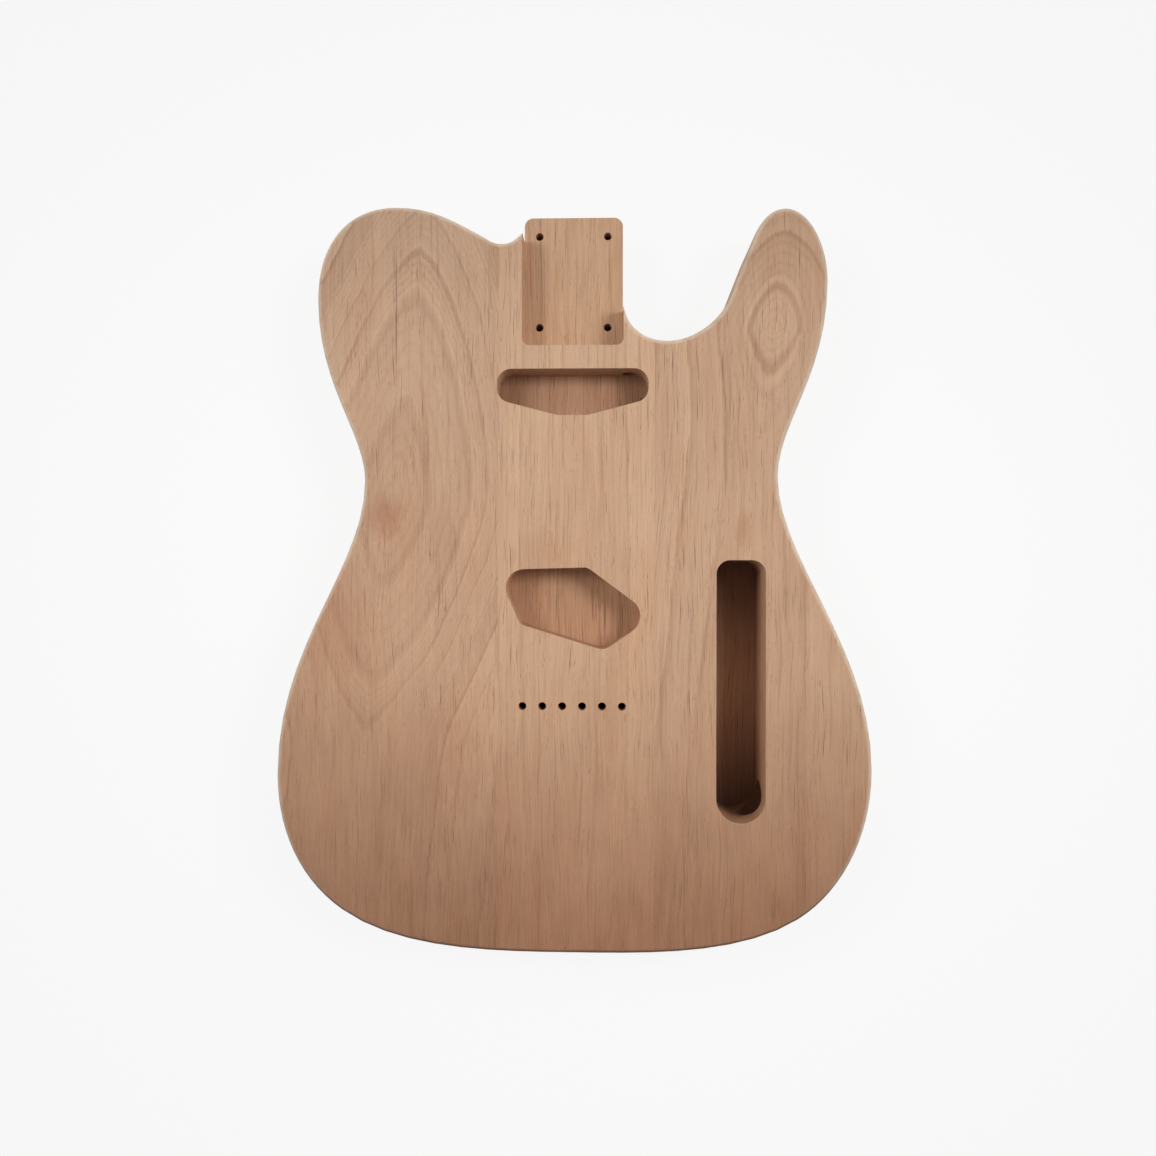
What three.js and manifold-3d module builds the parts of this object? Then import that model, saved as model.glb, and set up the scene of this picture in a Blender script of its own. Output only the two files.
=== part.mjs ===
// A bare wooden body for a single-cutaway electric guitar with a bolt-on neck.
// Three alder boards are glued edge to edge into one blank. The blank is sawn to its outline, its
// edges are rounded over on both faces, and the neck pocket, pickups, controls, wire channels and
// string holes are routed and bored. Lengths are millimetres. The back lies on z = 0 and the face
// looks up +z. +y runs up the neck, and +x is the treble side. x = 0 is the centre line, and y = 0
// is half way along the body.

import * as THREE from "three";
import { mergeVertices, toCreasedNormals } from "three/addons/utils/BufferGeometryUtils.js";
import Module from "manifold-3d";

const wasm = await Module();
wasm.setup();

// Blank: 16 by 12 3/4 by 1 3/4 inches, rounded over with a 1/8 inch bit
const bodyLength = 406.4;
const lowerBoutWidth = 323.85;
const bodyThickness = 44.45;
const edgeRadius = 3.2;
const bassGlueLineX = -40.3;
const trebleGlueLineX = 44.5;

// Outline of the bass side. An "out" is measured from the centre line, a "gap" from the side of the
// tongue that carries the neck, and a "drop" from the top of the shoulder
const shoulderTopOut = 97;
const upperBoutOut = 139.8;
const upperBoutDrop = 50.2;
const bassWaistOut = 113.8;
const bassWaistDrop = 149.2;
const shoulderSlopeGap = 22.55;
const shoulderSlopeDrop = 15.8;
const shoulderValleyGap = 10.95;
const shoulderValleyDrop = 20.3;
const valleyRiseGap = 3.05;
const valleyRiseDrop = 17;
const bassJointDrop = 13.4;

// Outline of the treble side, with its horn and cutaway
const hornTipOut = 115;
const hornTipDrop = 2.4;
const hornSideOut = 137.8;
const hornSideDrop = 42.2;
const hornFlankOut = 95.4;
const hornFlankDrop = 23.7;
const cutawaySideOut = 85;
const cutawaySideDrop = 50.2;
const cutawayBottomGap = 24.05;
const cutawayBottomDrop = 73.5;
const trebleJointDrop = 51.2;
const trebleWaistOut = 111.2;
const trebleWaistDrop = 147.5;

// Outline of the lower bout. A "rise" is measured from the tail end
const trebleBoutRise = 100.2;
const trebleCornerOut = 122.4;
const trebleCornerRise = 19.4;
const bassBoutRise = 96.2;
const bassCornerOut = 125.9;
const bassCornerRise = 22;

// Headings of the outline as it is walked clockwise, in degrees, with 0 towards the treble side
const towardsTreble = 0;
const towardsNeck = 90;
const towardsBass = 180;
const towardsTail = -90;
const slopeHeading = -28.3;
const valleyRiseHeading = 42;
const cutawayHeading = 70;
const hornFlankHeading = 68;
const trebleCornerHeading = -147.3;
const bassCornerHeading = 145.5;

// Neck pocket and the tongue under it: a 2 3/16 inch heel on four screws
const heelWidth = 54.9;
const heelClearance = 0.15;
const tongueDrop = 1.2;
const tongueCornerRadius = 5;
const pocketLength = 75;
const pocketDepth = 15.9;
const pocketCornerRadius = 4;
const neckScrewSpacingX = 38.1;
const neckScrewSpacingY = 50.8;
const neckScrewSetback = 35.8;
const neckScrewHoleDiameter = 4.4;

// Neck pickup cavity, measured before its corners are rounded
const neckPickupSetback = 12.7;
const neckPickupWidth = 82.4;
const neckPickupHeight = 25.2;
const neckPickupEndHeight = 16.6;
const neckPickupFlatWidth = 16.8;
const neckPickupDepth = 19;
const neckPickupCornerRadius = 8;

// Bridge pickup cavity, measured before its corners are rounded
const bridgePickupForward = 52.8;
const bridgePickupOut = 1.5;
const bridgePickupWidth = 85;
const bridgePickupHeight = 45;
const bridgePickupDepth = 19;
const bridgePickupEndRadius = 10;
const bridgePickupTailRadius = 8;
const bridgePickupSmallRadius = 5.5;
// Its corners, as shares of half its width and half its height, from the neck side round by the bass end
const bridgePickupCornerShares = [
  [0.157, 1],
  [-1, 0.94],
  [-0.706, -0.37],
  [0.372, -1],
  [1, -0.178],
];

// Strings pass through the body and anchor in ferrules let into the back
const stringCount = 6;
const stringSpacing = 10.8;
const stringRowRise = 134.4;
const stringHoleDiameter = 4.4;
const ferruleHoleDiameter = 8;
const ferruleHoleDepth = 9.5;

// Control cavity and the jack bore that leaves its lower end through the side
const controlCavityOut = 91.2;
const controlCavityTopRise = 213.7;
const controlCavityWidth = 26.5;
const controlCavityLength = 142.2;
const controlCavityDepth = 38.1;
const controlCavityTopRadius = 7.5;
const jackBoreDiameter = 22.2;
const jackBoreHeading = -30;

// Wire channels: one long hole from the neck pocket, one slanting hole from the bridge pickup
const neckWireDiameter = 6.35;
const neckWireStartOut = 24.1;
const neckWireStartDepth = 12.4;
const neckWireEndInset = 3.2;
const neckWireEndDepth = 27;
const bridgeWireDiameter = 9.5;
const bridgeWireStartInset = 15;
const bridgeWireStartDepth = 9;
const bridgeWireEndInset = 5;
const bridgeWireEndDepth = 25;

// How finely the curves are faceted, and how far a cutter runs past the wood
const outlineFacetAngle = 4;
const cavityFacetAngle = 11.25;
const roundoverSteps = 4;
const holeSides = 20;
const boreSides = 36;
const turningSamples = 24;
const overrun = 2;
const samePlace = 0.001;
const circleHandleShare = 0.5523;
const straightHandleShare = 1 / 3;

// Bare sanded alder: pale pinkish tan, each board a little different
const bassBoardColor = 0xbf997c;
const centerBoardColor = 0xc39c80;
const trebleBoardColor = 0xbc967a;
const boardRoughness = 0.7;
const boardCreaseAngle = 30;

// Places that several features share
const neckEndY = bodyLength / 2;
const tailEndY = -bodyLength / 2;
const boutHalf = lowerBoutWidth / 2;
const tongueHalf = heelWidth / 2;
const tongueEndY = neckEndY - tongueDrop;
const pocketWidth = heelWidth + 2 * heelClearance;
const pocketEndY = tongueEndY - pocketLength;
const neckPickupTopY = pocketEndY - neckPickupSetback;
const stringRowY = tailEndY + stringRowRise;
const bridgePickupY = stringRowY + bridgePickupForward;
const controlTopY = tailEndY + controlCavityTopRise;
const controlEndRadius = controlCavityWidth / 2;
const controlEndY = controlTopY - controlCavityLength + controlEndRadius;

// A direction in the plane of the face, from a heading in degrees
function directionOf(heading) {
  const angle = THREE.MathUtils.degToRad(heading);
  return new THREE.Vector2(Math.cos(angle), Math.sin(angle));
}

// The outline's stations, walked clockwise from the bass side of the tongue. Each is a place and the
// heading it is passed at. Its shares say how far the curve's handles reach before and after it, of
// the way to the next station along that heading
function outlineStations() {
  const round = circleHandleShare;
  const straight = straightHandleShare;
  const tongueSideY = tongueEndY - tongueCornerRadius;
  const tongueCornerX = tongueHalf - tongueCornerRadius;
  const cutawayX = tongueHalf + cutawayBottomGap;
  const slopeX = -tongueHalf - shoulderSlopeGap;
  const valleyX = -tongueHalf - shoulderValleyGap;
  const riseX = -tongueHalf - valleyRiseGap;
  const trebleCornerY = tailEndY + trebleCornerRise;
  return [
    { at: [-tongueHalf, tongueSideY], heading: towardsNeck, shares: [straight, round] },
    { at: [-tongueCornerX, tongueEndY], heading: towardsTreble, shares: [round, straight] },
    { at: [tongueCornerX, tongueEndY], heading: towardsTreble, shares: [straight, round] },
    { at: [tongueHalf, tongueSideY], heading: towardsTail, shares: [round, straight] },
    { at: [tongueHalf, neckEndY - trebleJointDrop], heading: towardsTail, shares: [straight, 0.55] },
    { at: [cutawayX, neckEndY - cutawayBottomDrop], heading: towardsTreble, shares: [0.6, 0.42] },
    { at: [cutawaySideOut, neckEndY - cutawaySideDrop], heading: cutawayHeading, shares: [0.4, straight] },
    { at: [hornFlankOut, neckEndY - hornFlankDrop], heading: hornFlankHeading, shares: [straight, 0.38] },
    { at: [hornTipOut, neckEndY - hornTipDrop], heading: towardsTreble, shares: [0.55, 0.55] },
    { at: [hornSideOut, neckEndY - hornSideDrop], heading: towardsTail, shares: [0.52, 0.48] },
    { at: [trebleWaistOut, neckEndY - trebleWaistDrop], heading: towardsTail, shares: [0.28, 0.28] },
    { at: [boutHalf, tailEndY + trebleBoutRise], heading: towardsTail, shares: [0.42, 0.42] },
    { at: [trebleCornerOut, trebleCornerY], heading: trebleCornerHeading, shares: [0.38, 0.33] },
    { at: [0, tailEndY], heading: towardsBass, shares: [0.33, 0.35] },
    { at: [-bassCornerOut, tailEndY + bassCornerRise], heading: bassCornerHeading, shares: [0.33, 0.4] },
    { at: [-boutHalf, tailEndY + bassBoutRise], heading: towardsNeck, shares: [0.42, 0.45] },
    { at: [-bassWaistOut, neckEndY - bassWaistDrop], heading: towardsNeck, shares: [0.3, 0.26] },
    { at: [-upperBoutOut, neckEndY - upperBoutDrop], heading: towardsNeck, shares: [0.48, 0.62] },
    { at: [-shoulderTopOut, neckEndY], heading: towardsTreble, shares: [0.62, 0.42] },
    { at: [slopeX, neckEndY - shoulderSlopeDrop], heading: slopeHeading, shares: [0.35, 0.35] },
    { at: [valleyX, neckEndY - shoulderValleyDrop], heading: towardsTreble, shares: [0.5, 0.4] },
    { at: [riseX, neckEndY - valleyRiseDrop], heading: valleyRiseHeading, shares: [0.4, 0.4] },
    { at: [-tongueHalf, neckEndY - bassJointDrop], heading: towardsNeck, shares: [0.4, straight] },
  ];
}

// The fair curve from one station to the next
function curveBetween(from, to) {
  const start = new THREE.Vector2(...from.at);
  const end = new THREE.Vector2(...to.at);
  const leaving = directionOf(from.heading);
  const arriving = directionOf(to.heading);
  const way = end.clone().sub(start);
  const [, leaveShare] = from.shares;
  const [arriveShare] = to.shares;
  const firstHandle = leaving.clone().multiplyScalar(way.dot(leaving) * leaveShare);
  const lastHandle = arriving.clone().multiplyScalar(way.dot(arriving) * arriveShare);
  return new THREE.CubicBezierCurve(start, start.clone().add(firstHandle), end.clone().sub(lastHandle), end);
}

// How many facets a curve needs, from how far it turns in all
function facetCount(curve) {
  let turned = 0;
  let tangent = curve.getTangent(0);
  for (let sample = 1; sample <= turningSamples; sample += 1) {
    const next = curve.getTangent(sample / turningSamples);
    turned += Math.abs(Math.atan2(tangent.cross(next), tangent.dot(next)));
    tangent = next;
  }
  return Math.max(1, Math.ceil(THREE.MathUtils.radToDeg(turned) / outlineFacetAngle));
}

// The body's outline as one closed shape
function bodyOutline() {
  const stations = outlineStations();
  const points = stations.flatMap((from, i) => {
    const curve = curveBetween(from, stations[(i + 1) % stations.length]);
    return curve.getPoints(facetCount(curve)).slice(0, -1);
  });
  return new THREE.Shape(points);
}

// A closed shape whose straight sides meet in round corners. Each corner is [x, y, radius]
function roundedPolygon(corners) {
  const points = [];
  corners.forEach(([x, y, radius], i) => {
    const corner = new THREE.Vector2(x, y);
    const [beforeX, beforeY] = corners.at(i - 1);
    const [afterX, afterY] = corners[(i + 1) % corners.length];
    const back = new THREE.Vector2(beforeX, beforeY).sub(corner).normalize();
    const ahead = new THREE.Vector2(afterX, afterY).sub(corner).normalize();
    const halfAngle = Math.acos(back.dot(ahead)) / 2;
    const centre = back.clone().add(ahead).setLength(radius / Math.sin(halfAngle)).add(corner);
    const start = back.clone().multiplyScalar(radius / Math.tan(halfAngle)).add(corner).sub(centre);
    const sweep = (2 * halfAngle - Math.PI) * Math.sign(back.cross(ahead));
    const steps = Math.ceil(Math.abs(THREE.MathUtils.radToDeg(sweep)) / cavityFacetAngle);
    for (let step = 0; step <= steps; step += 1) {
      const point = start.clone().rotateAround(new THREE.Vector2(), (sweep * step) / steps).add(centre);
      const isNew = points.every((earlier) => earlier.distanceTo(point) > samePlace);
      if (isNew) points.push(point);
    }
  });
  return new THREE.Shape(points);
}

// A closed mesh as a solid that can be cut
function solidOf(geometry) {
  const bare = geometry.clone();
  bare.deleteAttribute("normal");
  bare.deleteAttribute("uv");
  const merged = mergeVertices(bare);
  return new wasm.Manifold(
    new wasm.Mesh({
      numProp: 3,
      vertProperties: merged.attributes.position.array,
      triVerts: new Uint32Array(merged.index.array),
    }),
  );
}

// The blank at its outline, with a quarter round along every edge of both faces
function roundedBlank() {
  const geometry = new THREE.ExtrudeGeometry(bodyOutline(), {
    depth: bodyThickness - 2 * edgeRadius,
    bevelThickness: edgeRadius,
    bevelSize: edgeRadius,
    bevelOffset: -edgeRadius,
    bevelSegments: roundoverSteps,
  });
  return solidOf(geometry.translate(0, 0, edgeRadius));
}

// A cutter that routs a shape from the face down to a depth
function rout(shape, depth) {
  const geometry = new THREE.ExtrudeGeometry(shape, { depth: depth + overrun, bevelEnabled: false });
  return solidOf(geometry.translate(0, 0, bodyThickness - depth));
}

// A cutter that bores a round hole between two places
function bore(start, end, diameter, sides) {
  const way = end.clone().sub(start);
  const geometry = new THREE.CylinderGeometry(diameter / 2, diameter / 2, way.length(), sides);
  const up = new THREE.Vector3(0, 1, 0);
  geometry.applyQuaternion(new THREE.Quaternion().setFromUnitVectors(up, way.clone().normalize()));
  const middle = start.clone().add(end).divideScalar(2);
  return solidOf(geometry.translate(middle.x, middle.y, middle.z));
}

// A cutter for an upright hole through the whole body
function throughHole(x, y, diameter) {
  const below = new THREE.Vector3(x, y, -overrun);
  const above = new THREE.Vector3(x, y, bodyThickness + overrun);
  return bore(below, above, diameter, holeSides);
}

// The pocket is open at the tongue's end and a hair wider than the tongue, so that no sliver stands
// at its sides
function neckPocket() {
  const half = pocketWidth / 2;
  const openEndY = tongueEndY + overrun;
  return rout(
    roundedPolygon([
      [-half, pocketEndY, pocketCornerRadius],
      [half, pocketEndY, pocketCornerRadius],
      [half, openEndY, overrun / 2],
      [-half, openEndY, overrun / 2],
    ]),
    pocketDepth,
  );
}

// Four holes for the neck screws, on a rectangle set back from the tongue's end
function neckScrewHoles() {
  const middleY = tongueEndY - neckScrewSetback;
  const sides = [-1, 1];
  return sides.flatMap((sideX) =>
    sides.map((sideY) => {
      const x = (sideX * neckScrewSpacingX) / 2;
      const y = middleY + (sideY * neckScrewSpacingY) / 2;
      return throughHole(x, y, neckScrewHoleDiameter);
    }),
  );
}

// The neck pickup cavity: a straight side by the pocket, round ends, and a side that slopes to a short flat
function neckPickupCavity() {
  const half = neckPickupWidth / 2;
  const flatHalf = neckPickupFlatWidth / 2;
  const endY = neckPickupTopY - neckPickupEndHeight;
  const flatY = neckPickupTopY - neckPickupHeight;
  const radius = neckPickupCornerRadius;
  return rout(
    roundedPolygon([
      [half, neckPickupTopY, radius],
      [-half, neckPickupTopY, radius],
      [-half, endY, radius],
      [-flatHalf, flatY, radius],
      [flatHalf, flatY, radius],
      [half, endY, radius],
    ]),
    neckPickupDepth,
  );
}

// The bridge pickup cavity: five sides, the long ones slanted as the pickup is
function bridgePickupCavity() {
  const radii = [
    bridgePickupSmallRadius,
    bridgePickupEndRadius,
    bridgePickupSmallRadius,
    bridgePickupTailRadius,
    bridgePickupEndRadius,
  ];
  const corners = bridgePickupCornerShares.map(([acrossShare, alongShare], i) => [
    bridgePickupOut + (acrossShare * bridgePickupWidth) / 2,
    bridgePickupY + (alongShare * bridgePickupHeight) / 2,
    radii[i],
  ]);
  return rout(roundedPolygon(corners), bridgePickupDepth);
}

// The control cavity: a slot with small corners at the neck end and a half-round tail end
function controlCavity() {
  const bassX = controlCavityOut - controlCavityWidth / 2;
  const trebleX = controlCavityOut + controlCavityWidth / 2;
  const tailY = controlTopY - controlCavityLength;
  return rout(
    roundedPolygon([
      [trebleX, controlTopY, controlCavityTopRadius],
      [bassX, controlTopY, controlCavityTopRadius],
      [bassX, tailY, controlEndRadius],
      [trebleX, tailY, controlEndRadius],
    ]),
    controlCavityDepth,
  );
}

// The jack bore starts at the centre of the control cavity's round end and leaves square to the side
// of the body
function jackBore() {
  const start = new THREE.Vector3(controlCavityOut, controlEndY, bodyThickness / 2);
  const heading = directionOf(jackBoreHeading);
  const end = new THREE.Vector3(heading.x, heading.y, 0).multiplyScalar(boutHalf).add(start);
  return bore(start, end, jackBoreDiameter, boreSides);
}

// Six string holes from the face, each opened up from the back for its ferrule
function stringHoles() {
  const holes = [];
  for (let string = 0; string < stringCount; string += 1) {
    const x = (string - (stringCount - 1) / 2) * stringSpacing;
    const below = new THREE.Vector3(x, stringRowY, -overrun);
    const seat = new THREE.Vector3(x, stringRowY, ferruleHoleDepth);
    holes.push(throughHole(x, stringRowY, stringHoleDiameter));
    holes.push(bore(below, seat, ferruleHoleDiameter, holeSides));
  }
  return holes;
}

// One drilling through the pocket's end wall crosses the neck pickup cavity and comes out in the
// control cavity
function neckWireChannel() {
  const entry = new THREE.Vector3(neckWireStartOut, pocketEndY, bodyThickness - neckWireStartDepth);
  const end = new THREE.Vector3(
    controlCavityOut - neckWireEndInset,
    controlTopY - neckWireEndInset,
    bodyThickness - neckWireEndDepth,
  );
  const back = entry.clone().sub(end).setLength(overrun);
  return bore(entry.clone().add(back), end, neckWireDiameter, holeSides);
}

// A slanting drilling takes the bridge pickup's wires from its cavity's treble end down into the
// control cavity
function bridgeWireChannel() {
  const trebleEndX = bridgePickupOut + bridgePickupWidth / 2;
  const start = new THREE.Vector3(
    trebleEndX - bridgeWireStartInset,
    bridgePickupY,
    bodyThickness - bridgeWireStartDepth,
  );
  const end = new THREE.Vector3(
    controlCavityOut - controlEndRadius + bridgeWireEndInset,
    bridgePickupY,
    bodyThickness - bridgeWireEndDepth,
  );
  return bore(start, end, bridgeWireDiameter, holeSides);
}

// The glued-up blank with everything cut in it
function machinedBody() {
  const cutters = [
    neckPocket(),
    neckPickupCavity(),
    bridgePickupCavity(),
    controlCavity(),
    jackBore(),
    neckWireChannel(),
    bridgeWireChannel(),
    ...neckScrewHoles(),
    ...stringHoles(),
  ];
  return cutters.reduce((body, cutter) => body.subtract(cutter), roundedBlank());
}

// The part of the body between two upright planes, with its glued faces flat to the last digit
function boardBetween(body, fromX, toX) {
  const slab = new THREE.BoxGeometry(toX - fromX, bodyLength + 2 * overrun, bodyThickness + 2 * overrun);
  slab.translate((fromX + toX) / 2, 0, bodyThickness / 2);
  const { vertProperties, triVerts } = body.intersect(solidOf(slab)).getMesh();
  const positions = new Float32Array(vertProperties);
  for (let i = 0; i < positions.length; i += 3) {
    for (const glueLineX of [bassGlueLineX, trebleGlueLineX]) {
      if (Math.abs(positions[i] - glueLineX) < samePlace) positions[i] = glueLineX;
    }
  }
  const geometry = new THREE.BufferGeometry();
  geometry.setAttribute("position", new THREE.BufferAttribute(positions, 3));
  geometry.setIndex(new THREE.BufferAttribute(new Uint32Array(triVerts), 1));
  return toCreasedNormals(geometry, THREE.MathUtils.degToRad(boardCreaseAngle));
}

// One board in bare sanded alder
function boardMesh(name, color, geometry) {
  const material = new THREE.MeshStandardMaterial({ color, roughness: boardRoughness, metalness: 0 });
  const mesh = new THREE.Mesh(geometry, material);
  mesh.name = name;
  return mesh;
}

// The body on its back, as three glued boards
function guitarBody() {
  const body = machinedBody();
  const bassEdgeX = -boutHalf - overrun;
  const trebleEdgeX = boutHalf + overrun;
  const group = new THREE.Group();
  group.add(
    boardMesh("bass_side_board", bassBoardColor, boardBetween(body, bassEdgeX, bassGlueLineX)),
    boardMesh("center_board", centerBoardColor, boardBetween(body, bassGlueLineX, trebleGlueLineX)),
    boardMesh("treble_side_board", trebleBoardColor, boardBetween(body, trebleGlueLineX, trebleEdgeX)),
  );
  return group;
}

export default guitarBody();
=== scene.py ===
# %% [markdown]
# # A bare guitar body in alder
# The body is three boards glued edge to edge, sawn to a single-cutaway outline, rounded over, and routed
# for its neck, pickups, controls and wires. It has no finish on it, so nearly all that the eye reads is
# wood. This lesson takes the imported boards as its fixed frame, eases their routed edges as a sanding
# block would, and grows the alder as a solid material, so that one set of growth rings runs through the
# face, the edges and the cavities alike. Lengths are metres in the scene, and millimetres inside the
# wood's shader groups.

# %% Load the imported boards
import math

import bmesh
import bpy
from mathutils import Matrix, Vector


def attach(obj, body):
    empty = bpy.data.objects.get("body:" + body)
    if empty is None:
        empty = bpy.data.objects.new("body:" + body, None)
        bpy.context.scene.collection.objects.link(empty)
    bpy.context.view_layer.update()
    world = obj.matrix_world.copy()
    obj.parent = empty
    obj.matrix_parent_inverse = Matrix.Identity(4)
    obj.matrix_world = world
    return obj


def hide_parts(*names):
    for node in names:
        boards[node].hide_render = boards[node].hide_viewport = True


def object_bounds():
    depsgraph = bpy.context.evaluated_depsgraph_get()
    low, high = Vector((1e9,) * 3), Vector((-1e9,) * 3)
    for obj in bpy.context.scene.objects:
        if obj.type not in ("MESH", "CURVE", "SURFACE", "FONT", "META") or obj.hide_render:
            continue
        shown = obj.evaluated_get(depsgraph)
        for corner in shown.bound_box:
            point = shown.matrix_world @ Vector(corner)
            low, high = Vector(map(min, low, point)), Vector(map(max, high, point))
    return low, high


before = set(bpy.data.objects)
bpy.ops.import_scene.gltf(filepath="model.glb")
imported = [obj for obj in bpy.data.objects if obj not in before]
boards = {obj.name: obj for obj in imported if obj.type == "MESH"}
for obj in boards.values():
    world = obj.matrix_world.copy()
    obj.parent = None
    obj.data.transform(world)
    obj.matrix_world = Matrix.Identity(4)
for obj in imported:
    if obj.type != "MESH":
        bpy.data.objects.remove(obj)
cad_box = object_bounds()
print("boards:", sorted(boards))
print("box of the packed part:", [tuple(round(c, 4) for c in corner) for corner in cad_box])

# %% [markdown]
# ## Camera
# The body lies on its back and the camera looks straight down on it from about half a metre, as someone
# holding a phone over a bench would. At that distance the cavities show a little of their far walls,
# which tells the eye how deep they are. A tracking constraint could aim the camera, but it would aim it
# too well: three small turns, in degrees about the camera's own axes, stand for the hand that held it.

# %% Camera over the bench
MM = 0.001
CAMERA_PLACE = Vector((16.117, 1.26, 534.45)) * MM
CAMERA_TURN = -1.519
CAMERA_TIP = -0.0972
CAMERA_LEAN = 0.0566
SENSOR_WIDTH = 36.0
FOCAL_LENGTH = 28.18
CLIP_START = 10 * MM


def turned(degrees, axis):
    return Matrix.Rotation(math.radians(degrees), 3, axis)


camera_data = bpy.data.cameras.new("bench_camera")
camera_data.sensor_width = SENSOR_WIDTH
camera_data.lens = FOCAL_LENGTH
camera_data.clip_start = CLIP_START
camera = bpy.data.objects.new("bench_camera", camera_data)
bpy.context.scene.collection.objects.link(camera)
world_to_camera = turned(CAMERA_TIP, "Z") @ turned(CAMERA_LEAN, "X") @ turned(CAMERA_TURN, "Y")
camera.matrix_world = Matrix.Translation(CAMERA_PLACE) @ world_to_camera.transposed().to_4x4()
bpy.context.scene.camera = camera
print("camera height over the bench, mm:", round(camera.matrix_world.translation.z / MM))

# %% [markdown]
# ## Helpers for node trees
# Every material below is built from nodes. A few small helpers keep that readable: one adds a node, one
# feeds a socket with either a link or a plain value, one does arithmetic, and one turns a value into a
# soft step between two limits. The nodes are laid out in rows, so that a tree can also be read in the
# shader editor.

# %% Helpers for numbers
NODE_COLUMNS = 9
COLUMN_STEP = 190
ROW_STEP = -230


def put(tree, kind, **settings):
    node = tree.nodes.new(kind)
    row, column = divmod(len(tree.nodes) - 1, NODE_COLUMNS)
    node.location = (column * COLUMN_STEP, row * ROW_STEP)
    for name, value in settings.items():
        setattr(node, name, value)
    return node


def feed(tree, socket, value):
    if isinstance(value, bpy.types.NodeSocket):
        tree.links.new(value, socket)
    else:
        socket.default_value = value


def calc(tree, operation, *values, clamp=False):
    node = put(tree, "ShaderNodeMath", operation=operation, use_clamp=clamp)
    for socket, value in zip(node.inputs, values):
        feed(tree, socket, value)
    return node.outputs[0]


def ramp_between(tree, value, low, high):
    node = put(tree, "ShaderNodeMapRange", interpolation_type="SMOOTHSTEP")
    feed(tree, node.inputs["Value"], value)
    feed(tree, node.inputs["From Min"], low)
    feed(tree, node.inputs["From Max"], high)
    return node.outputs["Result"]


def times(tree, first, second):
    return calc(tree, "MULTIPLY", first, second)


def one_less(tree, value):
    return calc(tree, "SUBTRACT", 1.0, value)


print("nodes are laid out in rows of", NODE_COLUMNS)

# %% [markdown]
# The same again for vectors and colours. The Mix node keeps the sockets of every data type in one list,
# so its colour sockets are found by their places in that list.

# %% Helpers for vectors and colors
MIX_SHARE, MIX_FIRST, MIX_SECOND, MIX_RESULT = 0, 6, 7, 2


def parts_of(tree, vector):
    node = put(tree, "ShaderNodeSeparateXYZ")
    feed(tree, node.inputs["Vector"], vector)
    return node.outputs


def vector_from(tree, **parts):
    node = put(tree, "ShaderNodeCombineXYZ")
    for axis, value in parts.items():
        feed(tree, node.inputs[axis], value)
    return node.outputs["Vector"]


def vector_calc(tree, operation, *vectors):
    node = put(tree, "ShaderNodeVectorMath", operation=operation)
    for socket, vector in zip(node.inputs, vectors):
        feed(tree, socket, vector)
    return node.outputs


def blend_colors(tree, share, first, second, mode="MIX"):
    node = put(tree, "ShaderNodeMix", data_type="RGBA", blend_type=mode)
    feed(tree, node.inputs[MIX_SHARE], share)
    feed(tree, node.inputs[MIX_FIRST], first)
    feed(tree, node.inputs[MIX_SECOND], second)
    return node.outputs[MIX_RESULT]


print("color sockets of the Mix node:", MIX_FIRST, MIX_SECOND, MIX_RESULT)

# %% [markdown]
# A node group has named inputs and outputs, so that an effect is built once and used by every board with
# its own values. An input that starts as None is a vector, one that starts as a tuple is a colour, and
# the others are plain numbers.

# %% Helpers for node groups
def new_group(name, inputs, outputs):
    tree = bpy.data.node_groups.new(name, "ShaderNodeTree")
    for label, start in inputs.items():
        kind = "NodeSocketVector" if start is None else "NodeSocketFloat"
        if isinstance(start, tuple):
            kind = "NodeSocketColor"
        socket = tree.interface.new_socket(label, in_out="INPUT", socket_type=kind)
        if start is not None:
            socket.default_value = start
    for label, kind in outputs.items():
        tree.interface.new_socket(label, in_out="OUTPUT", socket_type="NodeSocket" + kind)
    return tree, put(tree, "NodeGroupInput").outputs, put(tree, "NodeGroupOutput").inputs


def use_group(tree, group, **values):
    node = put(tree, "ShaderNodeGroup", node_tree=group)
    for name, value in values.items():
        feed(tree, node.inputs[name.replace("_", " ")], value)
    return node.outputs


print("node group helpers ready")

# %% [markdown]
# ## Stretched noise
# Wood changes slowly along its grain and fast across it. A noise texture whose coordinates are divided by
# a grain length along the board and a much smaller width across it gives exactly that, and because it is
# solid noise, the end grain shows the same fibres cut across, as small dots. A picture of wood could give
# the face the same streaks, but it would smear down the sides.

# %% Group: noise drawn out along the grain
grain_noise, given, made = new_group(
    "grain noise",
    {"Position": None, "Width": 1.0, "Length": 20.0, "Seed": 0.0, "Detail": 2.0, "Roughness": 0.5},
    {"Value": "Float"},
)
cell = vector_from(grain_noise, X=given["Width"], Y=given["Length"], Z=given["Width"])
stretched = vector_calc(grain_noise, "DIVIDE", given["Position"], cell)["Vector"]
noise = put(grain_noise, "ShaderNodeTexNoise", noise_dimensions="4D")
feed(grain_noise, noise.inputs["Vector"], stretched)
feed(grain_noise, noise.inputs["W"], given["Seed"])
feed(grain_noise, noise.inputs["Scale"], 1.0)
for name in ("Detail", "Roughness"):
    feed(grain_noise, noise.inputs[name], given[name])
feed(grain_noise, made["Value"], noise.outputs[0])
print(grain_noise.name, "has", len(grain_noise.nodes), "nodes")

# %% [markdown]
# Noise stays between 0 and 1 and swings about one half. Where it has to push something both ways, its
# middle is taken off first. A full swing from end to end is then twice the reach to one side.

# %% Helpers that use the noise
NOISE_MIDDLE = 0.5
FULL_SWING = 2.0


def noise_at(tree, position, width, length, seed, detail=2.0, roughness=0.5):
    values = {"Position": position, "Width": width, "Length": length, "Seed": seed}
    return use_group(tree, grain_noise, Detail=detail, Roughness=roughness, **values)["Value"]


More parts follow.
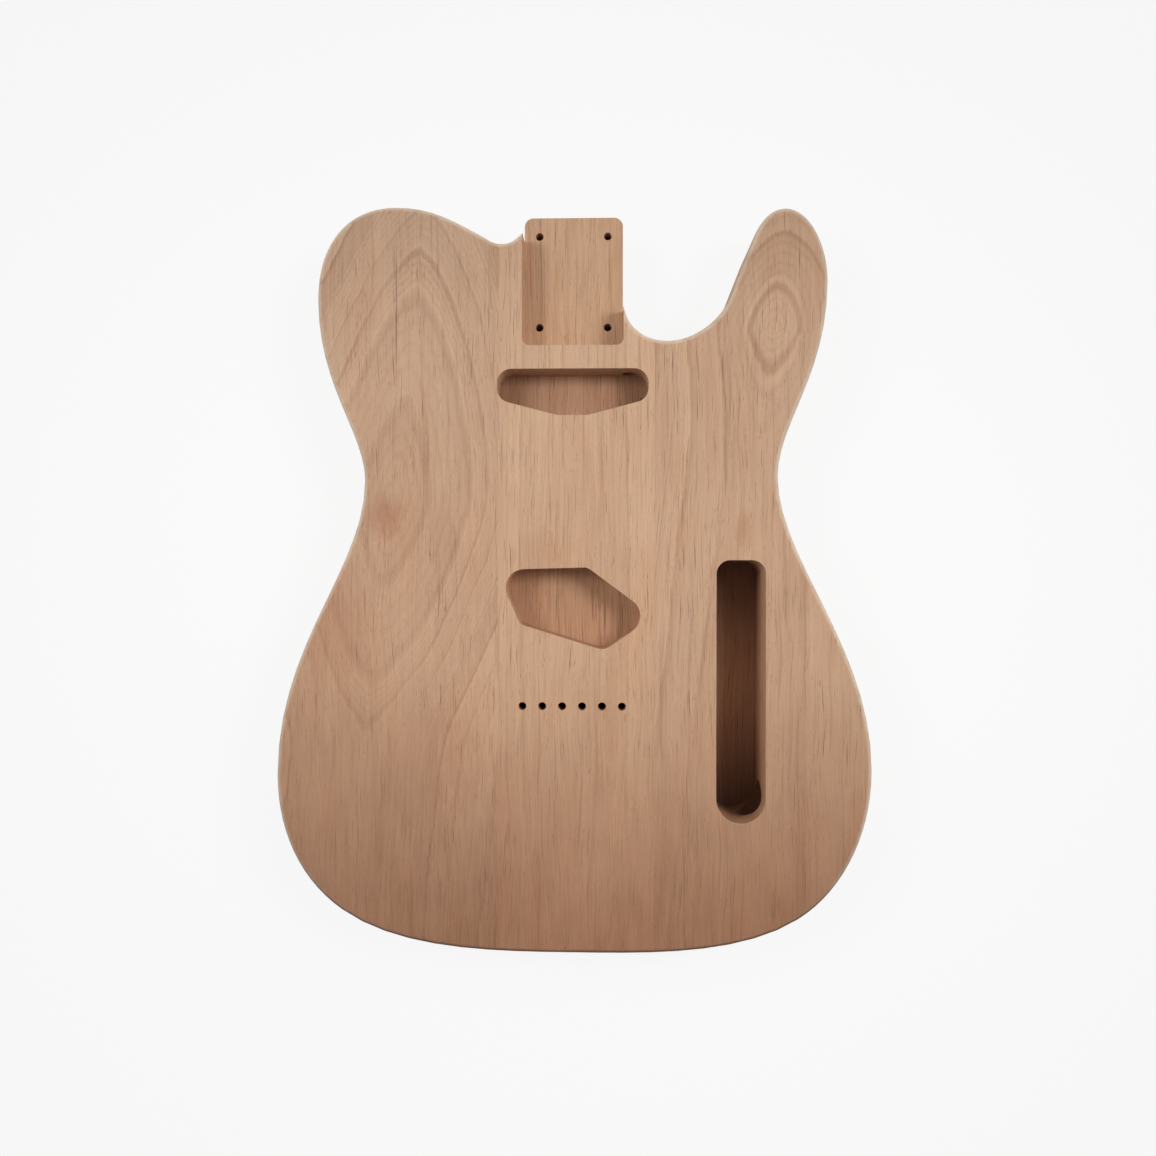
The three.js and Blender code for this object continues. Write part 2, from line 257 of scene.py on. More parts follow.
def about_middle(tree, value):
    return calc(tree, "SUBTRACT", value, NOISE_MIDDLE)


print("noise swings about", NOISE_MIDDLE)

# %% [markdown]
# ## Growth rings
# A flat-sawn board cuts the tree's rings almost level, so a ring shows as a long pointed oval round the
# place where the ring swells up to the face, and as arches outside it. A quarter-sawn board cuts them
# upright, as plain lines. Both come from one measure: how far a point is from the board's eye, counted in
# half widths across the grain and in lengths along it, plus how deep it lies under the face. Whole
# numbers of that measure are ring boundaries. Farther out the rings may crowd together, and towards the
# tail they may flare out. Two bends keep it natural. The rings wander slowly by a few millimetres, and
# their edges are jagged at the scale of the fibres, because the saw crosses them at a very flat angle.

# %% Group: ring count, with its measures across and along
FACE_HEIGHT_MM = round(cad_box[1][2] / MM, 2)
WANDER_NOISE = dict(width=30.0, length=70.0)
CAP_SOFTNESS = 0.5
ring_count, given, made = new_group(
    "ring count",
    {
        "Position": None, "Eye X": 0.0, "Eye Y": 0.0, "Lean": 0.0, "Half Width": 20.0,
        "Neck Length": 55.0, "Tail Length": 55.0, "Tail Power": 1.0, "Tail Cap": 100.0,
        "Flare": 0.0, "Pointedness": 1.35, "Crowding From": 2.0, "Crowding": 1.0,
        "Depth Step": 5.0, "Wander": 3.0, "Jag": 0.08, "Seed": 0.0,
    },
    {"Count": "Float"},
)
tree = ring_count
place = parts_of(tree, given["Position"])
slow = noise_at(tree, given["Position"], seed=given["Seed"], **WANDER_NOISE)
full_wander = times(tree, given["Wander"], FULL_SWING)
wander = times(tree, about_middle(tree, slow), full_wander)
along = calc(tree, "SUBTRACT", place["Y"], given["Eye Y"])
tailward = calc(tree, "MAXIMUM", times(tree, along, -1.0), 0.0)
centre_x = calc(tree, "MULTIPLY_ADD", along, given["Lean"], given["Eye X"])
across = calc(tree, "SUBTRACT", calc(tree, "ADD", place["X"], wander), centre_x)
on_treble_side = calc(tree, "GREATER_THAN", across, 0.0)
flare = times(tree, times(tree, tailward, given["Flare"]), on_treble_side)
half_width = times(tree, given["Half Width"], calc(tree, "ADD", flare, 1.0))
across_share = calc(tree, "DIVIDE", calc(tree, "ABSOLUTE", across), half_width)
neck_share = calc(tree, "DIVIDE", calc(tree, "MAXIMUM", along, 0.0), given["Neck Length"])
tail_share = calc(tree, "POWER", calc(tree, "DIVIDE", tailward, given["Tail Length"]), given["Tail Power"])
capped_share = calc(tree, "SMOOTH_MIN", tail_share, given["Tail Cap"], CAP_SOFTNESS)
along_share = calc(tree, "ADD", neck_share, capped_share)
print("front face lies at, mm:", FACE_HEIGHT_MM)

# %% [markdown]
# The two measures are joined as the sides of a triangle would be, but with a power of its own in place of
# 2. At 2 the rings would be ellipses. Closer to 1 they come to a point, as the cathedral arches of alder
# do.

# %% Group: ring count, joined into one number
JAG_NOISE = dict(width=1.7, length=12.0, detail=4.0, roughness=0.68)
across_power = calc(tree, "POWER", across_share, given["Pointedness"])
along_power = calc(tree, "POWER", along_share, given["Pointedness"])
both_powers = calc(tree, "ADD", across_power, along_power)
reach = calc(tree, "POWER", both_powers, calc(tree, "DIVIDE", 1.0, given["Pointedness"]))
crowd = calc(tree, "MAXIMUM", calc(tree, "SUBTRACT", reach, given["Crowding From"]), 0.0)
count = calc(tree, "MULTIPLY_ADD", crowd, given["Crowding"], reach)
depth = calc(tree, "SUBTRACT", place["Z"], FACE_HEIGHT_MM)
count = calc(tree, "ADD", count, calc(tree, "DIVIDE", depth, given["Depth Step"]))
ripple = about_middle(tree, noise_at(tree, given["Position"], seed=given["Seed"], **JAG_NOISE))
count = calc(tree, "MULTIPLY_ADD", ripple, times(tree, given["Jag"], FULL_SWING), count)
feed(tree, made["Count"], count)
print(ring_count.name, "has", len(ring_count.nodes), "nodes")

# %% [markdown]
# ## What a ring looks like
# In alder a year's growth darkens slowly and ends in a thin brown line, and the next year starts pale.
# Fainter hair lines run inside a year. No two years are alike, so each takes its own strength, width and
# tone from random numbers that belong to its whole number, each number with a shift of its own.

# %% Group: ring marks, with a random number for each year
ring_marks, given, made = new_group(
    "ring marks", {"Count": 0.0, "Seed": 0.0}, {"Line": "Float", "Pale": "Float", "Tone": "Float"}
)
tree = ring_marks
TONE_SHIFT = 7.5
year = calc(tree, "FLOOR", given["Count"])
within = calc(tree, "FRACT", given["Count"])


def yearly_random(year_number, shift):
    white = put(tree, "ShaderNodeTexWhiteNoise", noise_dimensions="2D")
    shifted_seed = calc(tree, "ADD", given["Seed"], shift)
    feed(tree, white.inputs["Vector"], vector_from(tree, X=year_number, Y=shifted_seed))
    return white.outputs["Value"]


def yearly_between(year_number, shift, least, spread):
    return calc(tree, "MULTIPLY_ADD", yearly_random(year_number, shift), spread, least)


feed(tree, made["Tone"], yearly_random(year, TONE_SHIFT))
print("each year has its own random tone")

# %% [markdown]
# The brown line rises late in the year and falls off at once, over a weaker darkening that starts
# earlier. The hair lines are the same idea at a finer count. The pale start is as strong as the line of
# the year before.

# %% Group: ring marks, with the line and the pale start
YEAR_STRENGTH = dict(shift=0.5, least=0.3, spread=0.7)
LINE_START = dict(shift=3.5, least=0.58, spread=0.28)
BODY_START = dict(shift=5.5, least=0.3, spread=0.4)
HAIR_STRENGTH = dict(shift=11.5, least=0.08, spread=0.3)
LINE_FULL = 0.93
LINE_FALL = 0.9
BODY_SHARE = 0.42
HAIRS_A_YEAR = 5.0
HAIR_SHIFT = 9.5
HAIR_FROM, HAIR_PEAK = 0.45, 0.85
PALE_FROM, PALE_TO = 0.02, 0.16
strength = yearly_between(year, **YEAR_STRENGTH)
rise = ramp_between(tree, within, yearly_between(year, **LINE_START), LINE_FULL)
body = ramp_between(tree, within, yearly_between(year, **BODY_START), 1.0)
body = times(tree, body, BODY_SHARE)
fall = one_less(tree, ramp_between(tree, within, LINE_FALL, 1.0))
dark = times(tree, calc(tree, "MAXIMUM", rise, body), fall)
band = times(tree, dark, strength)
hair_count = calc(tree, "MULTIPLY_ADD", given["Count"], HAIRS_A_YEAR, yearly_random(year, HAIR_SHIFT))
finer = calc(tree, "FRACT", hair_count)
hair_rise = ramp_between(tree, finer, HAIR_FROM, HAIR_PEAK)
hair = times(tree, hair_rise, ramp_between(tree, finer, 1.0, HAIR_PEAK))
hair = times(tree, hair, yearly_between(year, **HAIR_STRENGTH))
feed(tree, made["Line"], calc(tree, "ADD", band, hair))
last_strength = yearly_between(calc(tree, "SUBTRACT", year, 1.0), **YEAR_STRENGTH)
start = one_less(tree, ramp_between(tree, within, PALE_FROM, PALE_TO))
feed(tree, made["Pale"], times(tree, start, last_strength))
print(ring_marks.name, "has", len(ring_marks.nodes), "nodes")

# %% [markdown]
# ## Fibres
# Up close, alder has a fine silky streak. It is stretched noise at three widths: bands a few millimetres
# wide, threads under a millimetre, and long veins, which keep only the peaks of their noise. Real fibres
# are never quite straight, so all three sway slowly from side to side along the board. Each noise has a
# shift of its own on the board's seed, so that no two of them line up.

# %% Group: alder fibres, with streaks, threads and veins
SWAY_NOISE = dict(shift=13.0, width=22.0, length=60.0, detail=1.0)
SWAY_REACH = 3.5
BAND_NOISE = dict(width=3.4, roughness=0.55)
THREAD_NOISE = dict(shift=1.5, width=0.8, length=34.0, roughness=0.6)
VEIN_NOISE = dict(shift=2.5, width=0.85, length=60.0, detail=1.0)
VEIN_FROM, VEIN_TO = 0.58, 0.70
alder_fibres, given, made = new_group(
    "alder fibres",
    {
        "Position": None, "Streak Length": 60.0, "Fleck Length": 6.0, "Crack Length": 26.0,
        "Drift X": 0.0, "Drift Width": 6.0, "Seed": 0.0,
    },
    {"Streaks": "Float", "Threads": "Float", "Veins": "Float", "Pores": "Float", "Fuzz": "Float"},
)
tree = alder_fibres


def fibre_noise(position, shift, **size):
    return noise_at(tree, position, seed=calc(tree, "ADD", given["Seed"], shift), **size)


sway = fibre_noise(given["Position"], **SWAY_NOISE)
sideways = vector_from(tree, X=calc(tree, "MULTIPLY_ADD", sway, FULL_SWING * SWAY_REACH, -SWAY_REACH))
swayed = vector_calc(tree, "ADD", given["Position"], sideways)["Vector"]
bands = noise_at(tree, swayed, length=given["Streak Length"], seed=given["Seed"], **BAND_NOISE)
feed(tree, made["Streaks"], bands)
feed(tree, made["Threads"], fibre_noise(swayed, **THREAD_NOISE))
veins = fibre_noise(swayed, **VEIN_NOISE)
feed(tree, made["Veins"], ramp_between(tree, veins, VEIN_FROM, VEIN_TO))
print("fibres sway by up to", SWAY_REACH, "mm")

# %% [markdown]
# ## Pores, cracks and fuzz
# Alder's pores are cut open as short dark flecks that lie along the grain like pencil strokes, and here
# and there a longer crack opens. Both keep only the highest peaks of a very thin noise, so they stay
# sparse. A slower noise lowers that bar in patches, and a drift along one line of the board lowers it for
# the cracks, so they come in clusters. The fuzz is the nap that sanding leaves.

# %% Group: alder fibres, with pores, cracks and fuzz
FLECK_NOISE = dict(shift=3.0, width=0.36, detail=1.0)
CRACK_NOISE = dict(shift=4.0, width=0.42, detail=1.5)
PATCH_NOISE = dict(shift=5.0, width=7.0, length=34.0)
FUZZ_NOISE = dict(shift=9.0, width=0.5, length=2.6, detail=3.0, roughness=0.7)
FLECK_BAR, FLECK_PATCH_SHARE, FLECK_EDGE = 0.82, 0.26, 0.05
CRACK_BAR, CRACK_PATCH_SHARE, CRACK_DRIFT_SHARE, CRACK_EDGE = 0.727, 0.16, 0.04, 0.06
FLECK_STRENGTH = 0.7
fine = fibre_noise(swayed, length=given["Fleck Length"], **FLECK_NOISE)
patch = fibre_noise(swayed, **PATCH_NOISE)
fleck_bar = calc(tree, "MULTIPLY_ADD", patch, -FLECK_PATCH_SHARE, FLECK_BAR)
flecks = ramp_between(tree, fine, fleck_bar, calc(tree, "ADD", fleck_bar, FLECK_EDGE))
place = parts_of(tree, given["Position"])
off_drift = calc(tree, "ABSOLUTE", calc(tree, "SUBTRACT", place["X"], given["Drift X"]))
near_drift = one_less(tree, ramp_between(tree, off_drift, 0.0, given["Drift Width"]))
thin = fibre_noise(swayed, length=given["Crack Length"], **CRACK_NOISE)
crack_bar = calc(tree, "MULTIPLY_ADD", near_drift, -CRACK_DRIFT_SHARE, CRACK_BAR)
crack_bar = calc(tree, "MULTIPLY_ADD", patch, -CRACK_PATCH_SHARE, crack_bar)
cracks = ramp_between(tree, thin, crack_bar, calc(tree, "ADD", crack_bar, CRACK_EDGE))
feed(tree, made["Pores"], calc(tree, "MAXIMUM", times(tree, flecks, FLECK_STRENGTH), cracks))
feed(tree, made["Fuzz"], fibre_noise(swayed, **FUZZ_NOISE))
print(alder_fibres.name, "has", len(alder_fibres.nodes), "nodes")

# %% [markdown]
# ## Stains
# Every blank has a few places of its own: a reddish heart where a ring just touches the face, a redder or
# paler area as wide as a hand, or a thin dark mineral streak. One mask serves them all. It is an oval as
# wide, long and deep as asked, whose edge is broken up by noise.

# %% Group: soft oval stain
STAIN_EDGE_NOISE = dict(width=2.0, length=9.0, detail=3.0, roughness=0.6)
EDGE_BREAK = 1.1
STAIN_FULL, STAIN_NONE = 0.7, 1.7
stain_mask, given, made = new_group(
    "stain mask",
    {
        "Position": None, "Place X": 0.0, "Place Y": 0.0, "Half Width": 8.0, "Half Length": 12.0,
        "Half Depth": 25.0, "Seed": 0.0, "Share": 1.0,
    },
    {"Mask": "Float"},
)
tree = stain_mask
place = parts_of(tree, given["Position"])


def share_of_half(axis, middle, half):
    return calc(tree, "DIVIDE", calc(tree, "SUBTRACT", place[axis], middle), half)


across = share_of_half("X", given["Place X"], given["Half Width"])
along = share_of_half("Y", given["Place Y"], given["Half Length"])
deep = share_of_half("Z", FACE_HEIGHT_MM, given["Half Depth"])
square = calc(tree, "ADD", times(tree, across, across), times(tree, along, along))
square = calc(tree, "MULTIPLY_ADD", deep, deep, square)
broken = noise_at(tree, given["Position"], seed=given["Seed"], **STAIN_EDGE_NOISE)
reach = calc(tree, "MULTIPLY_ADD", broken, EDGE_BREAK, calc(tree, "SQRT", square))
mask = one_less(tree, ramp_between(tree, reach, STAIN_FULL, STAIN_NONE))
feed(tree, made["Mask"], times(tree, mask, given["Share"]))
print(stain_mask.name, "has", len(stain_mask.nodes), "nodes")

# %% [markdown]
# ## Painted shade in a slot
# The ends of a deep slot get little light, and that shade is painted into the wood as a brown darkening.
# The mask is a box round the slot that grows with depth and towards the slot's ends. A slot that lies
# across the body has its ends in X, and one that lies along it has them in Y.

# %% Group: painted shade at the ends of a slot
PAINTED_SHADE_TOP = 38.0
ABOVE_BACK = 3.0
SLOT_LIMIT = 1.1
slot_painted_shade, given, made = new_group(
    "slot scorch",
    {
        "Position": None, "Centre X": 0.0, "Centre Y": 0.0, "Half Width": 10.0, "Half Length": 50.0,
        "Ends Across": 0.0, "Ends From": 0.0, "Ends To": 1.0, "Floor": 8.0, "Share": 1.0,
    },
    {"Mask": "Float"},
)
tree = slot_painted_shade
place = parts_of(tree, given["Position"])
off_x = calc(tree, "ABSOLUTE", calc(tree, "SUBTRACT", place["X"], given["Centre X"]))
off_y = calc(tree, "ABSOLUTE", calc(tree, "SUBTRACT", place["Y"], given["Centre Y"]))
share_x = calc(tree, "DIVIDE", off_x, given["Half Width"])
share_y = calc(tree, "DIVIDE", off_y, given["Half Length"])
inside = calc(tree, "LESS_THAN", calc(tree, "MAXIMUM", share_x, share_y), SLOT_LIMIT)
inside = times(tree, inside, calc(tree, "GREATER_THAN", place["Z"], ABOVE_BACK))
turned_share = times(tree, calc(tree, "SUBTRACT", share_x, share_y), given["Ends Across"])
to_end = calc(tree, "ADD", share_y, turned_share)
mask = ramp_between(tree, to_end, given["Ends From"], given["Ends To"])
mask = times(tree, mask, ramp_between(tree, place["Z"], PAINTED_SHADE_TOP, given["Floor"]))
mask = times(tree, times(tree, mask, inside), given["Share"])
feed(tree, made["Mask"], mask)
print(slot_painted_shade.name, "has", len(slot_painted_shade.nodes), "nodes")

# %% [markdown]
# ## Painted shade in a bore
# Little light gets into a long bore, and that shade is painted into it as a brown darkening from end to
# end. The mask takes in all that lies within the drill's radius of its own line. That distance is the
# length of the cross product of the drill's direction and the way from its start to the point, and the
# dot product of the two tells how far in it is.

# %% Group: painted shade inside a bore
BORE_RIM = 0.3
bore_painted_shade, given, made = new_group(
    "bore scorch",
    {"Position": None, "Start": None, "Direction": None, "Radius": 10.0, "From": 5.0, "To": 50.0},
    {"Mask": "Float"},
)
tree = bore_painted_shade
from_start = vector_calc(tree, "SUBTRACT", given["Position"], given["Start"])["Vector"]
along = vector_calc(tree, "DOT_PRODUCT", from_start, given["Direction"])["Value"]
sideways = vector_calc(tree, "CROSS_PRODUCT", from_start, given["Direction"])["Vector"]
off_line = vector_calc(tree, "LENGTH", sideways)["Value"]
mask = calc(tree, "LESS_THAN", off_line, calc(tree, "ADD", given["Radius"], BORE_RIM))
mask = times(tree, mask, calc(tree, "GREATER_THAN", along, given["From"]))
mask = times(tree, mask, calc(tree, "LESS_THAN", along, given["To"]))
feed(tree, made["Mask"], mask)
print(bore_painted_shade.name, "has", len(bore_painted_shade.nodes), "nodes")

# %% [markdown]
# ## From marks to alder
# The last group turns the marks into the wood's colour, its roughness and the height of its surface. It
# is built in five steps: where the wood was cut, how dark each point is, what colour that gives, what the
# ends and the edges add, and how rough the surface is. Cut wood is all that lies a few millimetres below
# the front face and doesn't look down, so the sides, the walls and the floors, but not the back.

# %% Group: alder surface, with its mask for cut wood
CUT_FROM, CUT_TO = 41.0, 37.0
CUT_FACING_FROM, CUT_FACING_TO = -0.7, -0.2
alder_surface, given, made = new_group(
    "alder surface",
    {
        "Position": None, "Normal": None, "Line": 0.0, "Pale": 0.0, "Tone": 0.5, "Streaks": 0.5,
        "Threads": 0.5, "Veins": 0.0, "Pores": 0.0, "Fuzz": 0.5, "Stain": 0.0, "Mineral": 0.0,
        "Painted Shade": 0.0, "Bleach": 0.0, "Warm Share": 0.0, "Line Share": 0.6, "Tone Share": 0.2,
        "Streak Share": 0.5, "Thread Share": 0.5,
        "Light Wood": (0.60, 0.40, 0.27, 1.0), "Dark Wood": (0.42, 0.24, 0.15, 1.0),
    },
    {"Color": "Color", "Roughness": "Float", "Height": "Float"},
)
tree = alder_surface
place = parts_of(tree, given["Position"])
facing = parts_of(tree, given["Normal"])
below_face = ramp_between(tree, place["Z"], CUT_FROM, CUT_TO)
looks_up = ramp_between(tree, facing["Z"], CUT_FACING_FROM, CUT_FACING_TO)
cut_wood = times(tree, below_face, looks_up)
print("cut wood starts at height, mm:", CUT_FROM)

# %% [markdown]
# ### How dark each point is
# Darkness is one number, from 0 for the board's lightest wood to 1 for its darkest. Each pattern swings
# it up and down by a share of its own. The fibres count for more where a cutter went through them.

# %% Group: alder surface, darkness from the fibres
FIRST_DARKNESS = 0.4
VEIN_SHARE = 0.4
FUZZ_SHARE = 0.42
CUT_THREADS = 0.6


def swing(value, share):
    return times(tree, about_middle(tree, value), share)


more_threads = calc(tree, "MULTIPLY_ADD", cut_wood, CUT_THREADS, 1.0)
thread_share = times(tree, given["Thread Share"], more_threads)
darkness = calc(tree, "ADD", swing(given["Streaks"], given["Streak Share"]), FIRST_DARKNESS)
darkness = calc(tree, "ADD", darkness, swing(given["Threads"], thread_share))
vein_share = times(tree, thread_share, VEIN_SHARE)
darkness = calc(tree, "MULTIPLY_ADD", given["Veins"], vein_share, darkness)
darkness = calc(tree, "ADD", darkness, swing(given["Fuzz"], FUZZ_SHARE))
print("darkness starts at", FIRST_DARKNESS)

# %% [markdown]
# Towards the tail of this blank the rings grow faint, in their lines and in their tones, and cloudy
# flames a few centimetres long take over. The lines also come and go along their length. A bleached place
# is lighter all over.

# %% Group: alder surface, darkness from the rings
TAIL_FROM, TAIL_TO = -10.0, -225.0
FAINT_FROM, FAINT_TO = 0.0, -100.0
TONE_LOSS = 0.7
LINE_LOSS = 0.55
CLOUD_NOISE = dict(width=40.0, length=70.0, seed=21.0)
CLOUD_SHARE = 0.5
FLAME_NOISE = dict(width=9.0, length=24.0, seed=71.0, detail=3.0, roughness=0.6)
FLAME_SHARE, FLAME_TAIL_SHARE = 0.1, 0.55
FADING_NOISE = dict(width=26.0, length=70.0, seed=57.0)
FADING_FROM, FADING_TO = 0.36, 0.6
FADED_SHARE, FADING_SHARE = 0.6, 0.4
PALE_SHARE = 0.38
tailward = ramp_between(tree, place["Y"], TAIL_FROM, TAIL_TO)
faint = ramp_between(tree, place["Y"], FAINT_FROM, FAINT_TO)
less_tone = calc(tree, "MULTIPLY_ADD", faint, -TONE_LOSS, 1.0)
tone_share = times(tree, given["Tone Share"], less_tone)
darkness = calc(tree, "ADD", darkness, swing(given["Tone"], tone_share))
cloud = noise_at(tree, given["Position"], **CLOUD_NOISE)
darkness = calc(tree, "ADD", darkness, swing(cloud, CLOUD_SHARE))
flame = noise_at(tree, given["Position"], **FLAME_NOISE)
flame_share = calc(tree, "MULTIPLY_ADD", tailward, FLAME_TAIL_SHARE, FLAME_SHARE)
darkness = calc(tree, "ADD", darkness, swing(flame, flame_share))
fading = ramp_between(tree, noise_at(tree, given["Position"], **FADING_NOISE), FADING_FROM, FADING_TO)
kept = calc(tree, "MULTIPLY_ADD", fading, FADING_SHARE, FADED_SHARE)
kept = times(tree, kept, calc(tree, "MULTIPLY_ADD", faint, -LINE_LOSS, 1.0))
line_share = times(tree, given["Line Share"], kept)
darkness = calc(tree, "MULTIPLY_ADD", given["Line"], line_share, darkness)
pale_share = times(tree, line_share, -PALE_SHARE)
darkness = calc(tree, "MULTIPLY_ADD", given["Pale"], pale_share, darkness)
darkness = calc(tree, "SUBTRACT", darkness, given["Bleach"], clamp=True)
print("rings are at their faintest from Y, mm:", FAINT_TO)

# %% [markdown]
# ### What colour that gives
# Fresh alder is pinkish tan. The darkness blends the board's light wood into its dark wood. Then tints
# redden it where the wood is pinker, over the middle of the body and on the stains. Towards the tail a
# tint both reddens the wood and darkens it a good deal: partly the wood's own redder tone, partly painted
# shade for the light that falls off there. A tint is multiplied with the colour, so the grain stays as
# clear as it was. Pores and mineral streaks are dark all through, so they are blended over it.

# %% Group: alder surface, color of the planed wood
PINK_NOISE = dict(width=16.0, length=60.0, seed=33.0)
PINK_FROM, PINK_TO, PINK_SHARE = 0.42, 0.72, 0.5
PINK_TINT = (0.99, 0.90, 0.86)
TAIL_TINT_AND_SHADE = (0.60, 0.46, 0.385)
WARM_FROM, WARM_FULL_FROM, WARM_FULL_TO, WARM_TO = 150.0, -30.0, -90.0, -180.0
WARM_TINT = (0.97, 0.91, 0.87)
STAIN_TINT = (0.85, 0.75, 0.70)
PORE_COLOR, PORE_SHARE = (0.20, 0.095, 0.055), 0.8
MINERAL_COLOR, MINERAL_SHARE = (0.17, 0.09, 0.06), 0.7


def tinted(color, tint, share):
    return blend_colors(tree, share, color, (*tint, 1.0), mode="MULTIPLY")


def covered(color, cover, share):
    return blend_colors(tree, share, color, (*cover, 1.0))


color = blend_colors(tree, darkness, given["Light Wood"], given["Dark Wood"])
pink = ramp_between(tree, noise_at(tree, given["Position"], **PINK_NOISE), PINK_FROM, PINK_TO)
color = tinted(color, PINK_TINT, times(tree, pink, PINK_SHARE))
# Towards the tail: the wood's redder tone together with painted shade for the light's falloff.
color = tinted(color, TAIL_TINT_AND_SHADE, tailward)
warm = ramp_between(tree, place["Y"], WARM_FROM, WARM_FULL_FROM)
warm = times(tree, warm, given["Warm Share"])
warm = times(tree, warm, ramp_between(tree, place["Y"], WARM_TO, WARM_FULL_TO))
color = tinted(color, WARM_TINT, warm)
color = tinted(color, STAIN_TINT, given["Stain"])
color = covered(color, PORE_COLOR, times(tree, given["Pores"], PORE_SHARE))
color = covered(color, MINERAL_COLOR, times(tree, given["Mineral"], MINERAL_SHARE))
print("tail tint:", TAIL_TINT_AND_SHADE)

# %% [markdown]
# ### Painted shade in the cuts, and the end grain
# Cut wood gets painted shade: it is tinted a little warmer and darker than planed wood, more so on the
# floors of the pickup cavities and below them, and much darker where the slot and bore masks lay their
# painted shade. Where the cut crosses the fibres their open ends show, and they look dark. That holds for
# upright walls that face along the body.

# %% Group: alder surface, painted shade in cut wood, and end grain
CUT_SHADE_TINT = (0.985, 0.945, 0.90)
DEEP_FROM, DEEP_TO = 28.0, 25.0
DEEP_SHADE_TINT = (0.89, 0.82, 0.79)
PAINTED_SHADE_TINT = (0.34, 0.27, 0.24)
END_FACING_FROM, END_FACING_TO = 0.45, 0.95
END_SLOPE_FROM, END_SLOPE_TO = 0.1, 0.5
END_COLOR, END_SHARE = (0.33, 0.17, 0.095), 0.42
# Painted shade: cut wood, the deeper floors and the masked slot ends and bores are tinted darker.
color = tinted(color, CUT_SHADE_TINT, cut_wood)
deep = times(tree, cut_wood, ramp_between(tree, place["Z"], DEEP_FROM, DEEP_TO))
color = tinted(color, DEEP_SHADE_TINT, deep)
color = tinted(color, PAINTED_SHADE_TINT, given["Painted Shade"])
level = calc(tree, "ABSOLUTE", facing["Z"])
end_grain = ramp_between(tree, calc(tree, "ABSOLUTE", facing["Y"]), END_FACING_FROM, END_FACING_TO)
wall = one_less(tree, ramp_between(tree, level, END_SLOPE_FROM, END_SLOPE_TO))
end_grain = times(tree, end_grain, wall)
color = covered(color, END_COLOR, times(tree, end_grain, END_SHARE))
print("end grain covers", END_SHARE, "of the color at most")

# %% [markdown]
# ### The rounded edge
# The edge of the body is rounded over on both faces, and it gets a painted highlight: a pale cream colour
# laid over the rounding. That painted highlight is found by its slope and by its distance from the middle
# of the body's thickness, and noise makes it come and go, so that it doesn't look painted on. Round the
# tail the rounding is end grain that faces away from the light, and a darker tint there is partly its
# own end-grain colour and partly painted shade.

# %% Group: alder surface, painted highlight and painted shade on the rounded edge
TAIL_END_FROM, TAIL_END_TO = -120.0, -185.0
TAIL_FACING_FROM, TAIL_FACING_TO = -0.10, -0.5
TAIL_EDGE_SHADE_TINT = (0.60, 0.52, 0.47)
SLANT_FROM, SLANT_TO = 0.04, 0.7
LEVEL_FROM, LEVEL_TO = 0.02, 0.62
EDGE_FROM, EDGE_TO = 17.5, 19.0
EDGE_HIGHLIGHT_NOISE = dict(width=5.0, length=11.0, seed=91.0, detail=3.0)
EDGE_HIGHLIGHT_FROM, EDGE_HIGHLIGHT_TO = 0.35, 0.62
EDGE_HIGHLIGHT_SHARE, EDGE_HIGHLIGHT_SPREAD = 0.27, 0.15
EDGE_HIGHLIGHT_COLOR = (0.93, 0.84, 0.67)
slant = calc(tree, "SQRT", calc(tree, "SUBTRACT", 1.0, times(tree, level, level), clamp=True))
rounded = ramp_between(tree, slant, SLANT_FROM, SLANT_TO)
rounded = times(tree, rounded, ramp_between(tree, level, LEVEL_FROM, LEVEL_TO))
from_middle = calc(tree, "ABSOLUTE", calc(tree, "SUBTRACT", place["Z"], FACE_HEIGHT_MM / 2))
rounded = times(tree, rounded, ramp_between(tree, from_middle, EDGE_FROM, EDGE_TO))
# Painted highlight: a pale cream laid over the rounding, broken up by noise.
edge_highlight = ramp_between(tree, noise_at(tree, given["Position"], **EDGE_HIGHLIGHT_NOISE), EDGE_HIGHLIGHT_FROM, EDGE_HIGHLIGHT_TO)
edge_highlight = calc(tree, "MULTIPLY_ADD", edge_highlight, EDGE_HIGHLIGHT_SPREAD, EDGE_HIGHLIGHT_SHARE)
# Painted shade, together with end grain, on the rounding that faces the tail.
at_tail = ramp_between(tree, place["Y"], TAIL_END_FROM, TAIL_END_TO)
faces_tail = ramp_between(tree, facing["Y"], TAIL_FACING_FROM, TAIL_FACING_TO)
tail_edge_shade = times(tree, at_tail, faces_tail)
color = tinted(color, TAIL_EDGE_SHADE_TINT, tail_edge_shade)
rounded = times(tree, rounded, one_less(tree, tail_edge_shade))
color = covered(color, EDGE_HIGHLIGHT_COLOR, times(tree, rounded, edge_highlight))
feed(tree, made["Color"], color)
print("pale edge starts from the middle, mm:", EDGE_FROM)

# %% [markdown]
# ### How rough it is
# Bare sanded wood is matt, and darker wood and open pores more so. The height only drives a bump: pores
# sink in, and threads and fuzz stand up. They are about a tenth of a millimetre high at most, too fine to
# model.

# %% Group: alder surface, roughness and height
ROUGH_START, ROUGH_SPREAD, ROUGH_PORES = 0.56, 0.18, 0.2
PORE_DEPTH, FUZZ_HEIGHT, THREAD_HEIGHT = 0.7, 0.6, 0.6
rough = calc(tree, "MULTIPLY_ADD", darkness, ROUGH_SPREAD, ROUGH_START)
feed(tree, made["Roughness"], calc(tree, "MULTIPLY_ADD", given["Pores"], ROUGH_PORES, rough, clamp=True))
height = times(tree, given["Fuzz"], FUZZ_HEIGHT)
height = calc(tree, "MULTIPLY_ADD", given["Pores"], -PORE_DEPTH, height)
feed(tree, made["Height"], calc(tree, "MULTIPLY_ADD", given["Threads"], THREAD_HEIGHT, height))
print(alder_surface.name, "has", len(alder_surface.nodes), "nodes")

